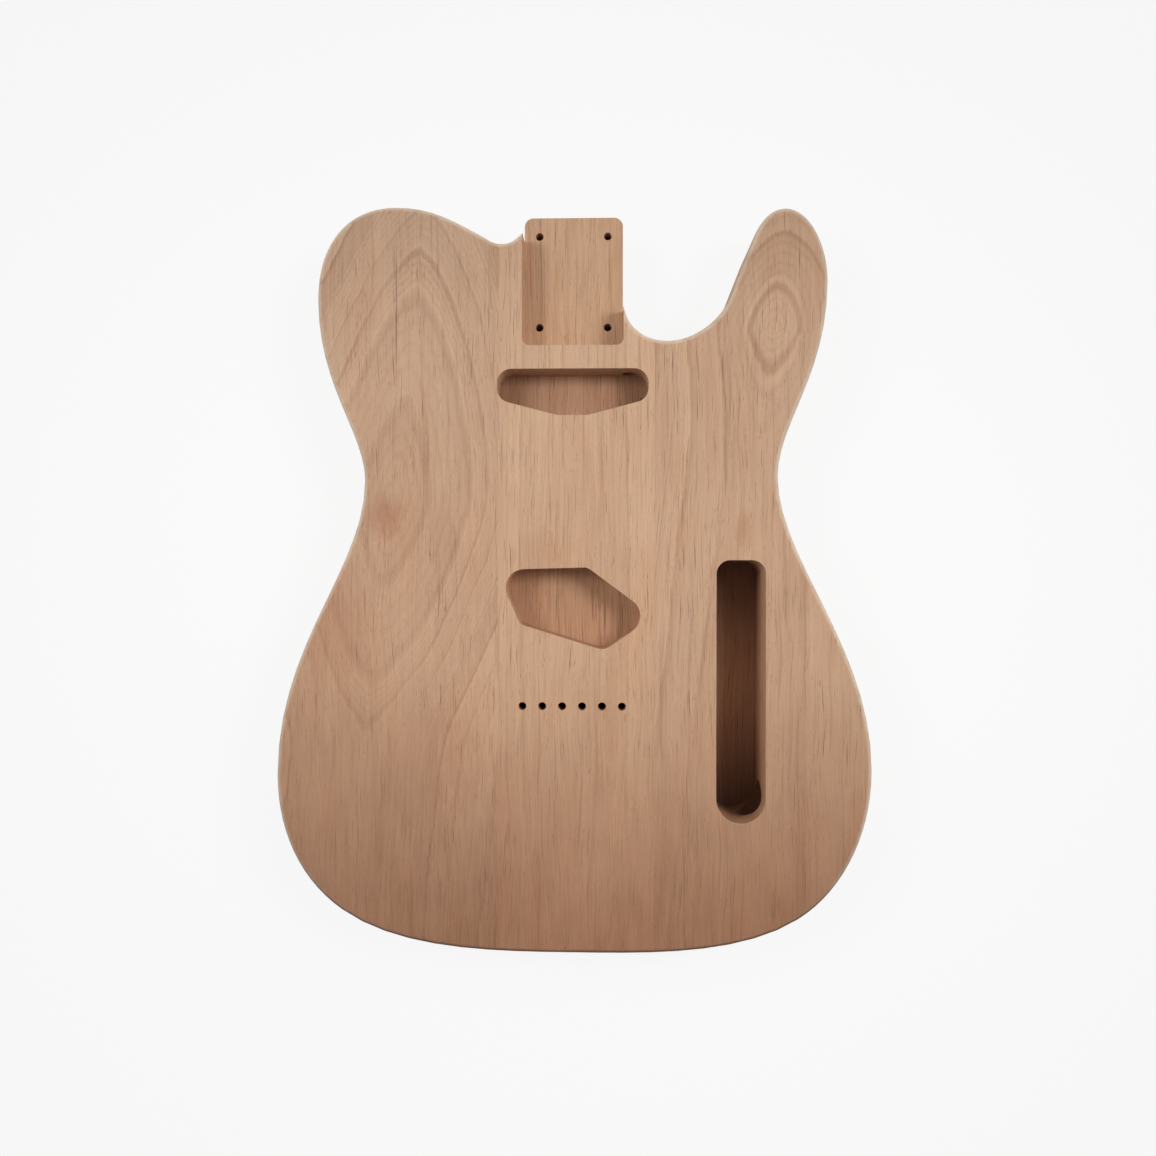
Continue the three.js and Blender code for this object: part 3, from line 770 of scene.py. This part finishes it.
# %% [markdown]
# ## One material for each board
# The boards came from different planks, so each has its own eye, lean and streak length, and its own base
# colour. The Principled shader stays in the material. Its colour, roughness and bump come from the
# groups. The groups are fed with the object's own coordinates, turned into millimetres.

# %% Maker of a board's alder
BUMP_STRENGTH = 0.35
BUMP_DISTANCE = 0.2 * MM
WOOD_SHINE = 0.3


def widest_mask(tree, group, places, least=0.0, **shared):
    mask = least
    for place in places:
        mask = calc(tree, "MAXIMUM", mask, use_group(tree, group, **shared, **place)["Mask"])
    return mask


def board_masks(tree, shared, seed, stains, bleached, mineral, slot, bores):
    slot_shade_mask = use_group(tree, slot_painted_shade, **shared, **slot)["Mask"]
    return {
        "Stain": widest_mask(tree, stain_mask, stains, Seed=seed, **shared),
        "Bleach": widest_mask(tree, stain_mask, bleached, Seed=seed, **shared),
        "Mineral": use_group(tree, stain_mask, Seed=seed, **shared, **mineral)["Mask"],
        "Painted Shade": widest_mask(tree, bore_painted_shade, bores, least=slot_shade_mask, **shared),
    }


def alder_material(name, seed, rings, fibres, surface, stains, mineral, slot, bleached=(), bores=()):
    material = bpy.data.materials.new(name)
    material.use_nodes = True
    tree = material.node_tree
    shader = tree.nodes["Principled BSDF"]
    coordinates = put(tree, "ShaderNodeTexCoord")
    to_mm = put(tree, "ShaderNodeVectorMath", operation="SCALE")
    feed(tree, to_mm.inputs["Vector"], coordinates.outputs["Object"])
    feed(tree, to_mm.inputs["Scale"], 1 / MM)
    shared = {"Position": to_mm.outputs["Vector"]}
    count = use_group(tree, ring_count, Seed=seed, **shared, **rings)["Count"]
    marks = use_group(tree, ring_marks, Count=count, Seed=seed)
    grain = use_group(tree, alder_fibres, Seed=seed, **shared, **fibres)
    patterns = {socket.name: socket for outputs in (marks, grain) for socket in outputs}
    masks = board_masks(tree, shared, seed, stains, bleached, mineral, slot, bores)
    normal = coordinates.outputs["Normal"]
    wood = use_group(tree, alder_surface, Normal=normal, **shared, **patterns, **masks, **surface)
    bump = put(tree, "ShaderNodeBump")
    feed(tree, bump.inputs["Strength"], BUMP_STRENGTH)
    feed(tree, bump.inputs["Distance"], BUMP_DISTANCE)
    feed(tree, bump.inputs["Height"], wood["Height"])
    feed(tree, shader.inputs["Base Color"], wood["Color"])
    feed(tree, shader.inputs["Roughness"], wood["Roughness"])
    feed(tree, shader.inputs["Normal"], bump.outputs["Normal"])
    feed(tree, shader.inputs["Specular IOR Level"], WOOD_SHINE)
    return material


materials = {}
print("wood's fine relief, mm:", round(BUMP_DISTANCE / MM, 2))

# %% [markdown]
# ### Bass side board
# This board is flat sawn, with a long pointed eye at the waist and arches above and below it. The eye has
# a reddish heart, the waist is redder below it, and the wood beside the glue joint is paler. A thin
# mineral streak runs down the upper bout. The neck pickup cavity ends in this board, and its end gets
# painted shade.

# %% Alder of the bass side board
PICKUP_SLOT_SHADE = dict(
    Centre_X=4.0, Centre_Y=103.0, Half_Width=44.0, Half_Length=13.5, Ends_Across=1.0, Ends_From=-0.6,
    Ends_To=1.0, Floor=26.0, Share=0.47,
)
REDDISH_HEART = dict(Place_X=-102.0, Place_Y=34.0, Half_Width=14.0, Half_Length=16.0)
REDDISH_WAIST = dict(Place_X=-134.0, Place_Y=-24.0, Half_Width=42.0, Half_Length=46.0, Share=0.6)
PALE_BY_JOINT = dict(Place_X=-38.0, Place_Y=-84.0, Half_Width=44.0, Half_Length=62.0, Share=0.34)
materials["bass_side_board"] = alder_material(
    "bass_side_board_alder",
    seed=3.0,
    rings=dict(
        Eye_X=-97.5, Eye_Y=44.4, Lean=0.11, Half_Width=21.7, Neck_Length=57.0, Tail_Length=51.5,
        Tail_Cap=2.45, Pointedness=1.43, Crowding_From=2.0, Crowding=1.5, Depth_Step=5.0,
        Wander=4.0, Jag=0.15,
    ),
    fibres=dict(Streak_Length=45.0, Drift_X=-43.0, Drift_Width=9.0),
    surface=dict(
        Line_Share=0.52, Tone_Share=0.24, Streak_Share=0.24, Thread_Share=0.45, Warm_Share=1.0,
        Light_Wood=(0.67, 0.45, 0.30, 1.0), Dark_Wood=(0.36, 0.205, 0.125, 1.0),
    ),
    stains=(REDDISH_HEART, REDDISH_WAIST),
    bleached=(PALE_BY_JOINT,),
    mineral=dict(Place_X=-96.0, Place_Y=146.0, Half_Width=0.42, Half_Length=52.0),
    slot=PICKUP_SLOT_SHADE,
)
print("made", materials["bass_side_board"].name)

# %% [markdown]
# ### Center board
# This board is nearly quarter sawn, so its rings show as close straight lines, drawn together a little
# towards the tail. It has a faint reddish place above the bridge pickup cavity and a short mineral streak
# in its floor. The wire bore from the neck pocket starts in it, and its inside gets painted shade, as do
# the ends of the neck pickup cavity.

# %% Alder of the center board
NECK_WIRE_BORE_SHADE = dict(
    Start=(24.1, 127.0, 32.05), Direction=(0.4682, -0.877, -0.107), Radius=3.2, From=-1.0, To=134.0
)
materials["center_board"] = alder_material(
    "center_board_alder",
    seed=11.0,
    rings=dict(
        Eye_X=1.0, Eye_Y=-30.0, Half_Width=7.5, Neck_Length=900.0, Tail_Length=133.0, Tail_Power=2.0,
        Pointedness=1.05, Crowding_From=9.0, Crowding=0.1, Depth_Step=18.0, Wander=3.0, Jag=0.15,
    ),
    fibres=dict(Streak_Length=90.0, Drift_X=-35.0, Drift_Width=8.0),
    surface=dict(
        Line_Share=0.3, Tone_Share=0.2, Streak_Share=0.26, Thread_Share=0.6, Warm_Share=0.4,
        Light_Wood=(0.72, 0.48, 0.315, 1.0), Dark_Wood=(0.41, 0.235, 0.14, 1.0),
    ),
    stains=(dict(Place_X=-14.0, Place_Y=14.0, Half_Width=24.0, Half_Length=18.0, Share=0.5),),
    mineral=dict(Place_X=17.8, Place_Y=-22.0, Half_Width=0.8, Half_Length=13.0, Half_Depth=90.0),
    slot=PICKUP_SLOT_SHADE,
    bores=(NECK_WIRE_BORE_SHADE,),
)
print("made", materials["center_board"].name)

# %% [markdown]
# ### Treble side board
# This board has straight grain that closes into a small oval in the horn. It holds the deep control
# cavity, which gets painted shade towards both ends, and two long bores, the wire bore's far end and the
# bore for the jack, which get painted shade inside. A small reddish spot lies just past the cavity's neck
# end.

# %% Alder of the treble side board
CONTROL_SLOT_SHADE = dict(
    Centre_X=91.2, Centre_Y=-60.6, Half_Width=13.25, Half_Length=71.1, Ends_From=0.0, Ends_To=1.15,
    Floor=8.0, Share=1.0,
)
JACK_BORE_SHADE = dict(Start=(91.2, -118.45, 22.2), Direction=(0.866, -0.5, 0.0), Radius=11.1, From=7.0, To=90.0)
materials["treble_side_board"] = alder_material(
    "treble_side_board_alder",
    seed=23.0,
    rings=dict(
        Eye_X=108.7, Eye_Y=134.2, Lean=0.12, Half_Width=15.7, Neck_Length=27.5, Tail_Length=27.0,
        Tail_Power=0.5, Tail_Cap=1.45, Flare=0.0066, Pointedness=1.7, Crowding_From=3.0, Crowding=0.7,
        Depth_Step=5.5, Wander=3.0, Jag=0.1,
    ),
    fibres=dict(Streak_Length=70.0, Drift_X=62.0, Drift_Width=10.0),
    surface=dict(
        Line_Share=0.48, Tone_Share=0.25, Streak_Share=0.3, Thread_Share=0.55, Warm_Share=0.3,
        Light_Wood=(0.68, 0.455, 0.30, 1.0), Dark_Wood=(0.39, 0.22, 0.133, 1.0),
    ),
    stains=(dict(Place_X=92.3, Place_Y=26.5, Half_Width=6.0, Half_Length=14.0, Share=0.8),),
    mineral=dict(Place_X=60.2, Place_Y=12.0, Half_Width=0.5, Half_Length=9.0),
    slot=CONTROL_SLOT_SHADE,
    bores=(JACK_BORE_SHADE, NECK_WIRE_BORE_SHADE),
)
print("made", materials["treble_side_board"].name)

# %% [markdown]
# ## The boards themselves
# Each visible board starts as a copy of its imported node, so its size and place can't drift. The copy is
# welded and its flat faces are joined up. Then the edges that the router left sharp are eased by a third
# of a millimetre, as a sanding block does. A bevel modifier would round the glue joints too, so the
# routed edges are picked out by where they lie. The joints stay sharp, because the boards were glued
# before any of this was cut.

# %% Find the routed edges
EASED_WIDTH = 0.35 * MM
EASED_STEPS = 2
EASED_PROFILE = 0.5
SHARP_ANGLE = math.radians(32)
PLANE_REACH = 0.01 * MM
across_center = [vertex.co.x for vertex in boards["center_board"].data.vertices]
GLUE_PLANES = (min(across_center), max(across_center))
FACE_PLANES = (0.0, FACE_HEIGHT_MM * MM)


def lies_in_glue_plane(edge):
    return any(all(abs(end.co.x - x) < PLANE_REACH for end in edge.verts) for x in GLUE_PLANES)


def lies_on_a_face(edge):
    return any(all(abs(end.co.z - z) < PLANE_REACH for end in edge.verts) for z in FACE_PLANES)


def ease_routed_edges(shaped):
    rims = [
        edge for edge in shaped.edges
        if len(edge.link_faces) == 2 and edge.calc_face_angle() > SHARP_ANGLE
        and lies_on_a_face(edge) and not lies_in_glue_plane(edge)
    ]
    bmesh.ops.bevel(
        shaped, geom=rims, offset=EASED_WIDTH, offset_type="OFFSET", segments=EASED_STEPS,
        profile=EASED_PROFILE, affect="EDGES", clamp_overlap=True, material=-1,
    )
    return len(rims)


print("glue joints at x, mm:", [round(x / MM, 2) for x in GLUE_PLANES])

# %% [markdown]
# Flat faces keep flat shading, and rounds keep smooth shading, through a weighted normal modifier that
# leaves the sharp edges as they are. Nothing moves, so all three boards ride on the one body.

# %% Finish each board
WELD_REACH = 0.001 * MM
FLAT_ANGLE = math.radians(0.2)
MOST_CORNERS = 4
NORMAL_WEIGHT = 100


def finished_board(node):
    mesh = node.data.copy()
    shaped = bmesh.new()
    shaped.from_mesh(mesh)
    bmesh.ops.remove_doubles(shaped, verts=shaped.verts, dist=WELD_REACH)
    bmesh.ops.dissolve_limit(
        shaped, angle_limit=FLAT_ANGLE, verts=shaped.verts, edges=shaped.edges, use_dissolve_boundaries=False
    )
    eased = ease_routed_edges(shaped)
    for face in shaped.faces:
        face.smooth = True
    for edge in shaped.edges:
        edge.smooth = len(edge.link_faces) == 2 and edge.calc_face_angle() < SHARP_ANGLE
    bmesh.ops.triangulate(shaped, faces=[face for face in shaped.faces if len(face.verts) > MOST_CORNERS])
    shaped.to_mesh(mesh)
    shaped.free()
    board = bpy.data.objects.new("finished_" + node.name, mesh)
    bpy.context.scene.collection.objects.link(board)
    weighted = board.modifiers.new("weighted normals", "WEIGHTED_NORMAL")
    weighted.keep_sharp = True
    weighted.weight = NORMAL_WEIGHT
    return board, eased


for name, node in sorted(boards.items()):
    board, eased = finished_board(node)
    for wooden in (board, node):
        wooden.data.materials.clear()
        wooden.data.materials.append(materials[name])
    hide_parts(name)
    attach(board, "root")
    print(name, "faces:", len(board.data.polygons), "eased edges:", eased)

# %% [markdown]
# ## Floor and a sheet of painted shade
# Two flat sheets lie under the body: the pale paper it lies on, and a near-black sheet of painted shade.
# They are only staging and never count as part of the body, and both have a plain matt paint.

# %% Helpers for the floor and the room
def flat_sheet(name, corners, drop):
    mesh = bpy.data.meshes.new(name)
    mesh.from_pydata([(x, y, 0.0) for x, y in corners], [], [tuple(range(len(corners)))])
    sheet = bpy.data.objects.new(name, mesh)
    sheet.location.z = -drop
    bpy.context.scene.collection.objects.link(sheet)
    material = bpy.data.materials.new(name)
    material.use_nodes = True
    mesh.materials.append(material)
    return material.node_tree


def matt_paint(tree, paint, roughness):
    shader = tree.nodes["Principled BSDF"]
    feed(tree, shader.inputs["Base Color"], (*paint, 1.0))
    feed(tree, shader.inputs["Roughness"], roughness)
    feed(tree, shader.inputs["Specular IOR Level"], 0.0)
    return shader


def seen_directly(tree):
    path = put(tree, "ShaderNodeLightPath")
    seen = calc(tree, "MAXIMUM", path.outputs["Is Camera Ray"], path.outputs["Is Glossy Ray"])
    return calc(tree, "MAXIMUM", seen, path.outputs["Is Transmission Ray"])


print("floor helpers ready")

# %% [markdown]
# The floor shows its own pale colour to the camera and still takes the body's soft shadow, because most
# of what the camera sees of it is a glow of that colour and the rest is lit paint.

# %% Pale floor
FLOOR_HALF = 6.0
FLOOR_DROP = 0.4 * MM
FLOOR_PAINT = (0.8, 0.8, 0.8)
FLOOR_ROUGHNESS = 0.9
FLOOR_GLOW = (0.985, 0.985, 0.985, 1.0)
GLOW_SHARE = 0.9
floor_corners = [(-FLOOR_HALF, -FLOOR_HALF), (FLOOR_HALF, -FLOOR_HALF)]
floor_corners += [(FLOOR_HALF, FLOOR_HALF), (-FLOOR_HALF, FLOOR_HALF)]
tree = flat_sheet("pale_paper", floor_corners, FLOOR_DROP)
paper = matt_paint(tree, FLOOR_PAINT, FLOOR_ROUGHNESS)
glow = put(tree, "ShaderNodeEmission")
feed(tree, glow.inputs["Color"], FLOOR_GLOW)
feed(tree, glow.inputs["Strength"], 1.0)
mix = put(tree, "ShaderNodeMixShader")
feed(tree, mix.inputs[0], times(tree, seen_directly(tree), GLOW_SHARE))
feed(tree, mix.inputs[1], paper.outputs[0])
feed(tree, mix.inputs[2], glow.outputs[0])
feed(tree, tree.nodes["Material Output"].inputs["Surface"], mix.outputs[0])
print("floor is", 2 * FLOOR_HALF, "m square")

# %% [markdown]
# A near-black sheet lies under the middle of the body as painted shade, so that the holes that run through
# the body look black.

# %% Sheet of painted shade
SHADE_SHEET_DROP = 0.1 * MM
SHADE_SHEET_HALF_WIDTH = 34 * MM
SHADE_SHEET_TAIL, SHADE_SHEET_SHOULDER = -90 * MM, 120 * MM
SHADE_SHEET_NECK_HALF_WIDTH = 23 * MM
SHADE_SHEET_NECK_FROM, SHADE_SHEET_NECK_TO = 130 * MM, 196 * MM
SHADE_SHEET_PAINT = (0.01, 0.009, 0.009)
SHADE_SHEET_ROUGHNESS = 1.0
shade_sheet_side = [(SHADE_SHEET_HALF_WIDTH, SHADE_SHEET_TAIL), (SHADE_SHEET_HALF_WIDTH, SHADE_SHEET_SHOULDER)]
shade_sheet_side += [(SHADE_SHEET_NECK_HALF_WIDTH, SHADE_SHEET_NECK_FROM), (SHADE_SHEET_NECK_HALF_WIDTH, SHADE_SHEET_NECK_TO)]
shade_sheet_corners = shade_sheet_side + [(-x, y) for x, y in reversed(shade_sheet_side)]
matt_paint(flat_sheet("painted_shade_sheet", shade_sheet_corners, SHADE_SHEET_DROP), SHADE_SHEET_PAINT, SHADE_SHEET_ROUGHNESS)
print("painted shade sheet has", len(shade_sheet_corners), "corners")

# %% [markdown]
# ## Lamps
# Most light comes from the room. Two soft lamps, one on each side and a little towards the neck, only
# give it some direction, and leave every routed wall a band of shade at its foot. Spot lamps are used,
# because their cones end before they reach the far floor.

# %% Side lamps
LAMPS = {
    "bass_side_lamp": dict(place=(-0.58, 0.21, 0.76), aim=(0.02, 0.01, 0.04), watts=11.8),
    "treble_side_lamp": dict(place=(0.58, 0.21, 0.77), aim=(-0.02, -0.06, 0.04), watts=16.6),
}
LAMP_RADIUS = 0.17
LAMP_CONE = math.radians(54)


def side_lamp(name, place, aim, watts):
    data = bpy.data.lights.new(name, "SPOT")
    data.shadow_soft_size = LAMP_RADIUS
    data.spot_size = LAMP_CONE
    data.spot_blend = 1.0
    data.energy = watts
    lamp = bpy.data.objects.new(name, data)
    bpy.context.scene.collection.objects.link(lamp)
    lamp.location = place
    ray = Vector(aim) - lamp.location
    lamp.rotation_euler = ray.to_track_quat("-Z", "Y").to_euler()
    return ray.length


for name, settings in LAMPS.items():
    print(name, "stands", round(side_lamp(name, **settings), 2), "m away")

# %% [markdown]
# ## Room
# Whoever took the picture leaned over the bench from the tail end, so little light falls from straight
# overhead or from that end. The room's light comes from all round the rest, at a slant, and less from the
# horizon. That leaves the deep, narrow control cavity nearly dark. The camera sees none of these shades:
# to it, the room is one even pale tone that meets the floor.

# %% Room light from all round, with none from straight overhead
ROOM_LIGHT = 0.83
HORIZON_SHARE = 0.6
HORIZON_FROM, HORIZON_TO = 0.05, 0.4
OVERHEAD_SHARE = 0.1
OVERHEAD_FROM, OVERHEAD_TO = math.cos(math.radians(42)), math.cos(math.radians(28))
TAIL_SIDE_SHARE = 0.3
TAIL_SIDE_FROM, TAIL_SIDE_TO = -0.75, 0.15
WHITE_SEEN = 0.947
room = bpy.data.worlds.new("pale_room")
bpy.context.scene.world = room
room.use_nodes = True
tree = room.node_tree
background = tree.nodes["Background"]
direction = parts_of(tree, put(tree, "ShaderNodeTexCoord").outputs["Generated"])
raised = ramp_between(tree, direction["Z"], HORIZON_FROM, HORIZON_TO)
horizon_light = ROOM_LIGHT * HORIZON_SHARE
room_level = calc(tree, "MULTIPLY_ADD", raised, ROOM_LIGHT - horizon_light, horizon_light)
overhead = ramp_between(tree, direction["Z"], OVERHEAD_FROM, OVERHEAD_TO)
overhead_level = calc(tree, "MULTIPLY_ADD", overhead, OVERHEAD_SHARE - 1.0, 1.0)
room_level = times(tree, room_level, overhead_level)
neckward = ramp_between(tree, direction["Y"], TAIL_SIDE_FROM, TAIL_SIDE_TO)
tail_level = calc(tree, "MULTIPLY_ADD", neckward, 1.0 - TAIL_SIDE_SHARE, TAIL_SIDE_SHARE)
room_level = times(tree, room_level, tail_level)
seen_less_room = calc(tree, "SUBTRACT", WHITE_SEEN, room_level)
strength = calc(tree, "MULTIPLY_ADD", seen_directly(tree), seen_less_room, room_level)
feed(tree, background.inputs["Color"], (1.0, 1.0, 1.0, 1.0))
feed(tree, background.inputs["Strength"], strength)
bpy.context.scene.view_settings.view_transform = "Standard"
print("room light:", ROOM_LIGHT)
